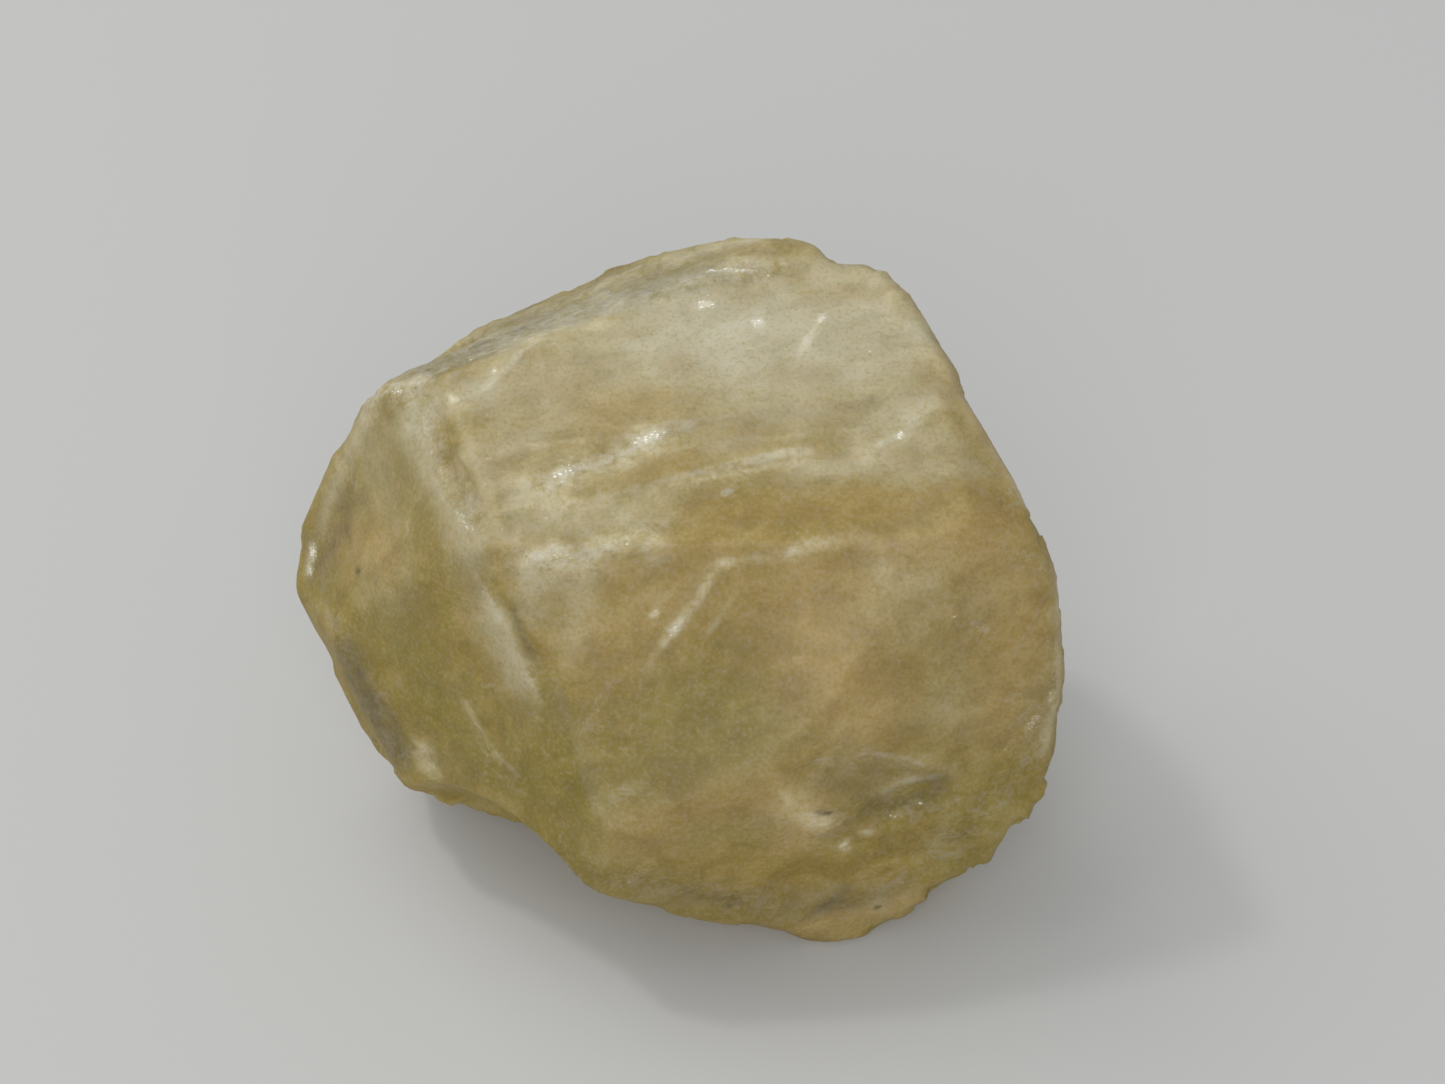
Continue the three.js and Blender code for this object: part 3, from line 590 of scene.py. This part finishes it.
        "rear": (0.5, 0.25, 0.25, [(-6.5, 7.4), (-5.6, 7.9), (-4.7, 8.3), (-3.1, 8.9)]),
        "shell": (0.8, 0.2, 0.7, [(5.3, -9.1), (5.0, -9.6), (4.4, -10.0), (3.7, -10.3)]),
        # painted shade: darker low on the right, near the floor
        "lowRight": (0.5, 1.2, 1.2, [(8.6, -8.2), (9.2, -7.2), (10.2, -6.0)]),
        "rearEnd": (0.5, 0.4, 0.4, [(-1.5, 10.4), (-2.2, 10.2), (-2.9, 9.9)]),
        # painted shade in the crease at the foot
        "crease": (1.0, 0.9, 0.9, [(-4.9, -7.1), (-4.0, -7.7), (-3.1, -8.3)]),
    },
    "clear": {
        "wing": (0.3, 0.6, 0.4, [(5.8, -6.4), (6.7, -6.3), (7.9, -6.1)]),
        "wingSheet": (0.35, 0.5, 0.5, [(4.6, -5.5), (5.8, -5.3), (6.9, -5.3)]),
        "leftRim": (0.6, 0.6, 0.6, [(-10.4, -1.9), (-10.0, -2.9), (-9.6, -3.7), (-9.1, -4.5),
                                    (-8.7, -5.2)]),
        "leftTip": (0.4, 0.9, 0.9, [(-11.2, 1.0), (-10.4, 2.6)]),
        "bottom": (0.4, 0.8, 0.8, [(-1.0, -9.0), (3.0, -9.9), (6.5, -9.6)]),
        "rear": (0.5, 2.4, 0.3, [(-7.4, 6.8), (-6.5, 7.1), (-4.8, 7.8), (-2.6, 8.5), (-0.9, 8.9)]),
        "rightRim": (0.2, 0.6, 0.6, [(10.6, 3.0), (11.4, -0.5), (11.0, -4.6)]),
    },
    # painted highlights: white glints painted where a crack or an edge catches the light
    "glint": {
        "tipHigh": (0.85, 0.28, 0.28, [(-11.7, 1.2), (-11.7, 1.1)]),
        "tipLow": (0.85, 0.22, 0.22, [(-11.85, 0.6)]),
        "corner": (0.7, 0.15, 0.15, [(-8.7, 6.1), (-8.5, 6.1)]),
        "stripEdge": (0.4, 0.22, 0.22, [(-7.7, 5.3), (-7.5, 4.7), (-7.2, 3.9), (-6.8, 3.2)]),
        "stripSpeck": (0.5, 0.1, 0.1, [(-5.55, 4.0)]),
        "strip": (0.8, 0.14, 0.14, [(-6.75, 5.85), (-6.65, 5.7)]),
        "rearA": (0.8, 0.1, 0.1, [(-6.4, 7.1)]),
        "rearB": (0.8, 0.1, 0.1, [(-5.6, 6.6), (-5.5, 6.7)]),
        "bandLeft": (0.65, 0.26, 0.24, [(-3.45, 3.45), (-3.15, 3.6)]),
        "bandRight": (0.55, 0.24, 0.2, [(-1.2, 4.45), (-0.8, 4.6), (-0.4, 4.75)]),
        "topBig": (0.75, 0.22, 0.22, [(0.7, 8.75), (1.0, 8.8)]),
        "topSmall": (0.75, 0.2, 0.2, [(2.4, 8.2)]),
        "topStreak": (0.8, 0.14, 0.14, [(4.3, 8.25), (4.4, 8.4)]),
        "lensLine": (0.7, 0.1, 0.1, [(0.9, 9.9), (1.5, 9.95), (2.4, 9.85)]),
        "bandEnd": (1.0, 0.13, 0.13, [(6.55, 4.65), (6.65, 4.75)]),
        "streakHigh": (0.4, 0.14, 0.14, [(-0.65, -0.6), (-0.5, -0.5)]),
        "streakLow": (0.45, 0.16, 0.16, [(-0.15, -1.15), (0.05, -0.95)]),
        "ridge": (0.35, 0.22, 0.22, [(-3.8, 1.15), (-3.0, 1.1)]),
        "rightLineHigh": (0.4, 0.16, 0.16, [(11.5, -3.0), (11.15, -3.4)]),
        "rightLine": (0.5, 0.24, 0.14, [(10.8, -3.85), (10.5, -4.2)]),
        "rightLineLow": (0.38, 0.12, 0.12, [(10.15, -4.5), (9.8, -4.9)]),
        "arc": (0.22, 0.2, 0.2, [(4.1, 1.4), (4.8, 1.65)]),
        "wingA": (0.7, 0.12, 0.12, [(6.5, -6.85), (6.8, -6.7)]),
        "wingB": (0.6, 0.1, 0.1, [(7.3, -6.4)]),
        "speck": (0.7, 0.12, 0.12, [(5.1, -7.9), (5.3, -7.85)]),
        "stripLow": (0.5, 0.15, 0.15, [(-6.5, 2.4), (-6.2, 2.0), (-5.9, 1.8)]),
        "rightSpeck": (0.6, 0.08, 0.08, [(8.1, -0.68)]),
        "quiet": (0.5, 0.1, 0.1, [(3.0, 5.6)]),
    },
    # dark specks, stains and lines; fold, stripGroove, wing and shell are painted shade in the fold,
    # the strip's groove and under the wing's and the shell's ledges
    "dark": {
        "spot": (1.0, 0.1, 0.1, [(-10.0, 0.6)]),
        "clearA": (0.5, 0.26, 0.26, [(-10.1, -2.6), (-10.0, -2.8)]),
        "clearB": (0.45, 0.28, 0.28, [(-9.75, -3.5), (-9.6, -3.8)]),
        "clearEdge": (0.3, 0.12, 0.12, [(-9.4, -3.4), (-8.9, -4.2), (-8.3, -5.0)]),
        "patch": (0.9, 0.09, 0.09, [(4.2, -6.6), (4.65, -6.65)]),
        "wing": (0.3, 0.1, 0.1, [(5.5, -6.6), (6.1, -6.15), (6.5, -5.95), (7.2, -5.75), (8.2, -5.65)]),
        "fold": (0.4, 0.1, 0.1, [(-4.8, -0.5), (-4.55, -1.2), (-4.3, -1.9)]),
        "stripGroove": (0.15, 0.1, 0.1, [(-7.3, 5.5), (-6.9, 5.1), (-6.5, 4.6)]),
        "leftRim": (0.42, 0.5, 0.5, [(-10.5, -2.7), (-10.2, -3.5), (-9.65, -4.5), (-9.1, -5.4)]),
        "footA": (0.9, 0.08, 0.08, [(6.2, -10.0)]),
        "footB": (0.8, 0.07, 0.07, [(1.5, -9.75)]),
        "footC": (0.3, 0.08, 0.08, [(0.2, -9.1), (0.9, -9.4), (1.9, -9.5)]),
        "leftA": (0.4, 0.15, 0.15, [(-10.4, 1.9), (-10.2, 1.4)]),
        "rearLine": (0.5, 0.08, 0.08, [(-6.5, 7.5), (-5.6, 7.95), (-4.7, 8.3), (-3.9, 8.6)]),
        "shell": (0.4, 0.1, 0.25, [(5.2, -9.3), (4.9, -9.7), (4.3, -10.1)]),
    },
}
hiddenMarks = {
    "milk": {
        "backA": (0.3, 1.8, 0.9, [(130, 40), (160, 48), (200, 46)]),
        "backB": (0.25, 0.4, 1.4, [(112, 16), (138, 24), (168, 28)]),
        "backLow": (0.25, 0.3, 0.8, [(150, -4), (172, 3), (196, 1)]),
        "sideA": (0.3, 0.4, 1.1, [(84, 30), (92, 12), (99, -6)]),
        "sideB": (0.3, 0.2, 1.2, [(238, 38), (249, 20), (256, 2)]),
    },
    # painted highlights on the hidden sides
    "glint": {
        "backA": (0.8, 0.2, 0.2, [(150, 47), (153, 47)]),
        "backB": (0.6, 0.15, 0.15, [(186, 47)]),
        "side": (0.7, 0.18, 0.18, [(249, 20), (250, 18)]),
    },
    "dark": {"back": (0.7, 0.1, 0.1, [(140, 10)]), "side": (0.6, 0.1, 0.1, [(268, 10)])},
}
# there the zones of colour follow a noise: lump size in mm, its low and high, strength
hiddenZones = {
    "veil": (4.5, -0.15, 0.75, 0.4),
    "rose": (3.6, -0.1, 0.6, 0.7),
    "amber": (4.8, -0.1, 0.6, 0.7),
    "olive": (4.0, -0.1, 0.6, 0.6),
    "clear": (3.4, 0.1, 0.8, 0.4),
}
zoneShift = 5.0      # between the noises of two kinds of zone
zoneOctaves = 4
crest = {
    "reach": 1.5,     # mm
    "waver": 0.1,     # mm
    "thinner": 0.3,   # mm, how much further off it counts at its ends
}


def markBody(crystal):
    skin = Skin(crystal)
    for shift, name in enumerate(marks):
        amount = np.zeros(skin.count, np.float32)
        if name in hiddenZones:
            lump, low, high, strength = hiddenZones[name]
            lumps = skin.noisy(lump, zoneShift * shift, zoneOctaves)
            amount += strength * skin.hidden() * smooth(lumps, low, high)
        amount = paintStrokes(skin, marks[name], skin.seen, amount)
        saveAmount(crystal, name, paintStrokes(skin, hiddenMarks.get(name, {}), skin.outward, amount))
    # the distance to the nearest relief line with a painted highlight on its edge, and how bright that
    # highlight is
    nearest = np.full(skin.count, crest["reach"], np.float32)
    shine = np.zeros(skin.count, np.float32)
    for lines, place in ((frontLines, skin.seen), (hiddenLines, skin.outward)):
        for kind, tall, width, bright, points in lines.values():
            if bright:
                line = skin.line(points, place)
                index, far, side, ends = skin.measure(line, crest["reach"], crest["waver"])
                far = far + (1 - ends) * crest["thinner"]
                closer = far < nearest[index]
                nearest[index[closer]] = far[closer]
                shine[index[closer]] = bright
    saveAmount(crystal, "crest", nearest)
    saveAmount(crystal, "shine", shine)
    print("veils and colour zones marked")


stone = {
    "pale": (0.56, 0.535, 0.42),
    "honey": (0.415, 0.302, 0.03),
    "honeyPale": (0.465, 0.352, 0.08),
    "blush": (0.59, 0.46, 0.21),
    "cream": (0.535, 0.49, 0.335),
    "amber": (0.49, 0.325, 0.05),
    "olive": (0.30, 0.24, 0.018),
    "rose": (0.56, 0.37, 0.105),
    "white": (0.63, 0.60, 0.49),
    # the near white of the painted highlights
    "bright": (0.95, 0.95, 0.88),
    # the dark of specks and stains, and of the painted shade in the creases
    "dark": (0.06, 0.04, 0.012),
    "grey": (0.25, 0.24, 0.15),
    "cleavage": (0.96, 0.19, 0.21),     # the way the sheets and splinters run
    "sheetStretch": 1.4,
    "gritStretch": 1.6,
    "splinterStretch": 3.0,
    "ior": 1.525,
    "absorb": (0.80, 0.58, 0.12),
    "absorbDensity": 90.0,
    "scatter": 0.55,
    "scatterShares": (1.0, 0.8, 0.45),  # how far red, green and blue go
    "scatterDepth": 1.8,                # mm
    "bump": 0.4,
    "bumpDepth": 0.06,                  # mm
}
# its noises. name: lump size in mm, detail, roughness, twist
grains = {
    "clouds": (3.5, 4, 0.6, 0.3),
    "wisps": (1.1, 7, 0.66, 0.3),
    "fine": (0.35, 5, 0.65, 0.0),
    "speckle": (0.13, 3, 0.7, 0.0),
    "tint": (0.5, 4, 0.7, 0.0),
    "grit": (0.22, 5, 0.75, 0.0),
    "veins": (2.4, 4, 0.55, 0.5),
    "veinPlaces": (2.0, 2, 0.55, 0.0),
    "crestGaps": (0.7, 3, 0.55, 0.0),
    "blotch": (0.8, 5, 0.65, 0.4),
    "sheetGrain": (0.2, 3, 0.6, 0.0),
}
# bright or dark dots. name: size of the cells in mm, size of the dot in mm, share of the cells with one
dots = {
    "splinters": (0.06, 0.025, 0.5),
    "crowd": (0.1, 0.035, 0.4),
    "lone": (0.6, 0.05, 0.4),
    "specks": (0.45, 0.045, 0.4),
}
# flat cells of the bump, in mm
flats = {"large": 0.35, "small": 0.16}
# the range over which a value counts, and what it then counts as where that isn't 0 to 1
ramps = {
    "veinWidth": (0.012, 0.0),
    "veinPlaces": (0.5, 0.65),
    "crestWidth": (0.15, 0.03),
    "crestGaps": (0.34, 0.56, 0.15, 1.0),
    "milkWisps": (0.25, 0.75, 0.65, 1.2),
    "milkFine": (0.3, 0.7, 0.6, 1.3),
    "veilWisps": (0.2, 0.8, 0.85, 1.15),
    "haze": (0.48, 0.75),
    "hazeInOlive": (0.2, 0.9, 0.22, 0.08),
    "honey": (0.35, 0.7),
    "tintRose": (0.5, 0.68, 0.0, 0.7),
    "tintOlive": (0.5, 0.32, 0.0, 0.6),
    "clearTint": (0.35, 0.6, 0.3, 1.0),
    "glint": (0.1, 0.7),
    "glintCore": (0.4, 1.0, 0.15, 0.5),
    "blotchPale": (0.52, 0.66),
    "blotchOlive": (0.48, 0.34),
    "gritPale": (0.5, 0.6),
    "gritOlive": (0.46, 0.34),
    "speckleCream": (0.45, 0.75, 0.0, 0.45),
    "speckleOlive": (0.55, 0.25, 0.0, 0.45),
    "specksAndShade": (0.3, 0.6, 0.6, 1.0),
    "clearUnderMilk": (0.0, 0.8, 1.0, 0.3),
    "clearWisps": (0.3, 0.7, 0.6, 0.4),
    "roughness": (0.3, 0.7, 0.48, 0.66),
}
# how much of a layer shows, or how much of one value goes into another
shares = {
    "zone": 0.8,
    "milk": 0.9,
    "crestWaver": 0.16,
    "loneInVeil": 0.8,
    "loneInWild": 0.6,
    "lone": 0.7,
    "patchyInWild": 0.8,
    "patchyElsewhere": 0.06,
    "grittyInMilk": 0.4,
    "gritOlive": 0.5,
    "scratched": 0.75,
    "veins": 0.4,
    "crest": 0.75,
    "specks": 0.6,
    "cloudyInVeil": 0.7,
    "clearZone": 0.15,
    "smootherInWild": 0.15,
    "fineRelief": 0.35,
    "sheetRelief": 0.2,
    "smallFlats": 0.5,
    "wildRelief": 2.4,
    "crestRelief": 0.7,
}


class Nodes:
    def __init__(self, material):
        material.use_nodes = True
        self.tree = material.node_tree
        self.tree.nodes.clear()

    def add(self, kind, inputs=None, **settings):
        node = self.tree.nodes.new(kind)
        for key, value in settings.items():
            setattr(node, key, value)
        for key, value in (inputs or {}).items():
            socket = node.inputs[key]
            if isinstance(value, bpy.types.NodeSocket):
                self.tree.links.new(value, socket)
            else:
                socket.default_value = value
        return node

    def math(self, operation, a, b=0.0, clamp=False):
        return self.add("ShaderNodeMath", {0: a, 1: b}, operation=operation, use_clamp=clamp).outputs[0]

    def plus(self, a, b, clamp=False):
        return self.math("ADD", a, b, clamp)

    def minus(self, a, b):
        return self.math("SUBTRACT", a, b)

    def times(self, a, b, clamp=False):
        return self.math("MULTIPLY", a, b, clamp)

    def mapRange(self, value, low, high, toLow=0.0, toHigh=1.0):
        inputs = {"Value": value, "From Min": low, "From Max": high, "To Min": toLow, "To Max": toHigh}
        return self.add("ShaderNodeMapRange", inputs, interpolation_type="SMOOTHSTEP").outputs[0]

    def ramp(self, value, name):
        return self.mapRange(value, *ramps[name])

    def mix(self, amount, a, b):
        node = self.add("ShaderNodeMix", data_type="RGBA")
        for key, value in ((0, amount), (6, a), (7, b)):
            if isinstance(value, bpy.types.NodeSocket):
                self.tree.links.new(value, node.inputs[key])
            elif key:
                node.inputs[key].default_value = (*value, 1)
            else:
                node.inputs[key].default_value = value
        return node.outputs[2]

    def noise(self, where, name):
        size, detail, rough, twist = grains[name]
        inputs = {"Vector": where, "Scale": 1 / (size * mm), "Detail": detail, "Roughness": rough,
                  "Distortion": twist}
        return self.add("ShaderNodeTexNoise", inputs).outputs["Fac"]

    # the same place with everything drawn out along the cleavage
    def drawnOut(self, where, stretch):
        along = Vector(stone["cleavage"]).normalized()
        across = along.cross(Vector((0, 0, 1))).normalized()
        parts = {}
        for k, axis in enumerate((along / stretch, across, along.cross(across))):
            part = self.add("ShaderNodeVectorMath", {0: where, 1: tuple(axis)}, operation="DOT_PRODUCT")
            parts[k] = part.outputs["Value"]
        return self.add("ShaderNodeCombineXYZ", parts).outputs[0]

    def flat(self, where, name):
        inputs = {"Vector": where, "Scale": 1 / (flats[name] * mm)}
        return self.add("ShaderNodeTexVoronoi", inputs, distance="CHEBYCHEV").outputs["Distance"]

    # small dots, one in some of the cells
    def flecks(self, where, name):
        cell, size, share = dots[name]
        cells = self.add("ShaderNodeTexVoronoi", {"Vector": where, "Scale": 1 / (cell * mm)})
        dot = self.mapRange(cells.outputs["Distance"], size / cell, size / cell * 0.5)
        pick = self.add("ShaderNodeSeparateColor", {0: cells.outputs["Color"]}).outputs[0]
        return self.times(dot, self.math("LESS_THAN", pick, share))

    def amount(self, name):
        return self.add("ShaderNodeAttribute", attribute_name=name).outputs["Fac"]


def stoneMaterial():
    material = bpy.data.materials.new("sanidine")
    n = Nodes(material)
    where = n.add("ShaderNodeTexCoord").outputs["Object"]
    # veils lie in sheets, so their noise is drawn out a little along the cleavage
    sheets = n.drawnOut(where, stone["sheetStretch"])
    splinters = n.drawnOut(where, stone["splinterStretch"])
    wisps = n.noise(sheets, "wisps")
    fine = n.noise(where, "fine")
    speckle = n.noise(where, "speckle")
    tint = n.noise(where, "tint")
    wild = n.amount("wild")
    glint = n.amount("glint")

    # healed cracks: thin pale lines, in some places only
    veins = n.math("ABSOLUTE", n.minus(n.noise(sheets, "veins"), 0.5))
    veins = n.times(n.ramp(veins, "veinWidth"), n.ramp(n.noise(where, "veinPlaces"), "veinPlaces"))

    # thin bright crests, broken up along their length: a highlight painted in white along the edges of
    # the relief lines
    crest = n.plus(n.amount("crest"), n.times(n.minus(speckle, 0.5), shares["crestWaver"]))
    crest = n.times(n.ramp(crest, "crestWidth"), n.ramp(n.noise(where, "crestGaps"), "crestGaps"))
    crest = n.times(crest, n.amount("shine"))

    # cloudiness, from the thickest to the thinnest
    milk = n.times(n.amount("milk"), n.ramp(wisps, "milkWisps"))
    milk = n.times(milk, n.ramp(fine, "milkFine"), clamp=True)
    veil = n.times(n.amount("veil"), n.ramp(wisps, "veilWisps"), clamp=True)
    haze = n.times(n.ramp(wisps, "haze"), n.ramp(n.amount("olive"), "hazeInOlive"))

    # zones of colour, and the cloudiness over them
    colour = n.mix(n.ramp(n.noise(where, "clouds"), "honey"), stone["honey"], stone["honeyPale"])
    colour = n.mix(n.ramp(tint, "tintRose"), colour, stone["rose"])
    colour = n.mix(n.ramp(tint, "tintOlive"), colour, stone["olive"])
    for zone in ("olive", "rose", "amber"):
        colour = n.mix(n.times(n.amount(zone), shares["zone"]), colour, stone[zone])
    colour = n.mix(n.times(n.amount("clear"), n.ramp(tint, "clearTint")), colour, stone["grey"])
    colour = n.mix(haze, colour, stone["cream"])
    colour = n.mix(veil, colour, n.mix(n.amount("rose"), stone["pale"], stone["blush"]))
    colour = n.mix(n.times(milk, shares["milk"]), colour, n.mix(milk, stone["cream"], stone["white"]))

    # painted highlights, sparks of light in the colour: a crowd of flecks where a crack glints, and a
    # few lone ones among the veils
    crowd = n.plus(n.flecks(splinters, "splinters"), n.flecks(where, "crowd"), clamp=True)
    crowd = n.times(n.ramp(glint, "glint"), n.plus(crowd, n.ramp(glint, "glintCore")), clamp=True)
    lone = n.plus(n.times(veil, shares["loneInVeil"]), n.times(wild, shares["loneInWild"]), clamp=True)
    lone = n.times(lone, n.flecks(where, "lone"))
    sparks = n.plus(crowd, n.times(lone, shares["lone"]), clamp=True)

    # the rough breaks are blotched, gritty and scratched white
    blotch = n.noise(where, "blotch")
    patchy = n.plus(n.times(wild, shares["patchyInWild"]), shares["patchyElsewhere"], clamp=True)
    colour = n.mix(n.times(n.ramp(blotch, "blotchPale"), patchy), colour, stone["cream"])
    colour = n.mix(n.times(n.ramp(blotch, "blotchOlive"), patchy), colour, stone["olive"])
    grit = n.noise(n.drawnOut(where, stone["gritStretch"]), "grit")
    gritty = n.plus(n.times(wild, wild), n.times(milk, shares["grittyInMilk"]), clamp=True)
    scratched = n.times(n.ramp(grit, "gritPale"), gritty)
    darkGrit = n.times(n.ramp(grit, "gritOlive"), n.times(gritty, shares["gritOlive"]))
    colour = n.mix(darkGrit, colour, stone["olive"])
    colour = n.mix(n.times(scratched, shares["scratched"]), colour, stone["white"])

    # thin lines and dots on top
    colour = n.mix(n.times(veins, shares["veins"]), colour, stone["cream"])
    # the painted highlight along the relief lines
    colour = n.mix(n.times(crest, shares["crest"]), colour, stone["white"])
    colour = n.mix(n.ramp(speckle, "speckleCream"), colour, stone["cream"])
    colour = n.mix(n.ramp(speckle, "speckleOlive"), colour, stone["olive"])
    specks = n.times(n.flecks(where, "specks"), wild)
    colour = n.mix(n.times(specks, shares["specks"]), colour, stone["dark"])
    # the painted highlights go in as near white colour
    colour = n.mix(sparks, colour, stone["bright"])
    # dark specks and stains, and painted shade in the creases, broken up by a fine noise
    colour = n.mix(n.times(n.amount("dark"), n.ramp(fine, "specksAndShade")), colour, stone["dark"])

    # the stone is clear where it isn't cloudy
    cloudy = n.plus(milk, n.times(veil, shares["cloudyInVeil"]), clamp=True)
    clear = n.times(n.ramp(cloudy, "clearUnderMilk"), n.ramp(wisps, "clearWisps"))
    clear = n.plus(clear, n.times(n.amount("clear"), shares["clearZone"]), clamp=True)
    clear = n.times(clear, n.minus(1.0, sparks))
    rough = n.minus(n.ramp(fine, "roughness"), n.times(wild, shares["smootherInWild"]))

    # bump: a faint grain, and small flat facets where the break is rough
    sheetGrain = n.times(n.noise(sheets, "sheetGrain"), shares["sheetRelief"])
    relief = n.plus(n.times(fine, shares["fineRelief"]), sheetGrain)
    facets = n.plus(n.flat(sheets, "large"), n.times(n.flat(where, "small"), shares["smallFlats"]))
    relief = n.plus(relief, n.times(facets, n.times(wild, shares["wildRelief"])))
    relief = n.plus(relief, n.times(n.plus(crest, scratched), shares["crestRelief"]))
    bump = n.add("ShaderNodeBump", {
        "Strength": stone["bump"],
        "Distance": stone["bumpDepth"] * mm,
        "Height": relief,
    })

    shader = n.add("ShaderNodeBsdfPrincipled", {
        "Base Color": colour,
        "Roughness": rough,
        "IOR": stone["ior"],
        "Normal": bump.outputs[0],
        "Transmission Weight": clear,
        "Subsurface Weight": stone["scatter"],
        "Subsurface Radius": stone["scatterShares"],
        "Subsurface Scale": stone["scatterDepth"] * mm,
    })
    soak = n.add("ShaderNodeVolumeAbsorption", {
        "Color": (*stone["absorb"], 1),
        "Density": stone["absorbDensity"],
    })
    n.add("ShaderNodeOutputMaterial", {"Surface": shader.outputs[0], "Volume": soak.outputs[0]})
    print("stone material made")
    return material


addCamera()
addStudio()
crystal = addBody()
shapeBody(crystal)
roughenBody(crystal)
markBody(crystal)
only(crystal)
bpy.ops.object.shade_smooth()
crystal.data.materials.append(stoneMaterial())
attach(crystal, "root")
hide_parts("sanidine_crystal")
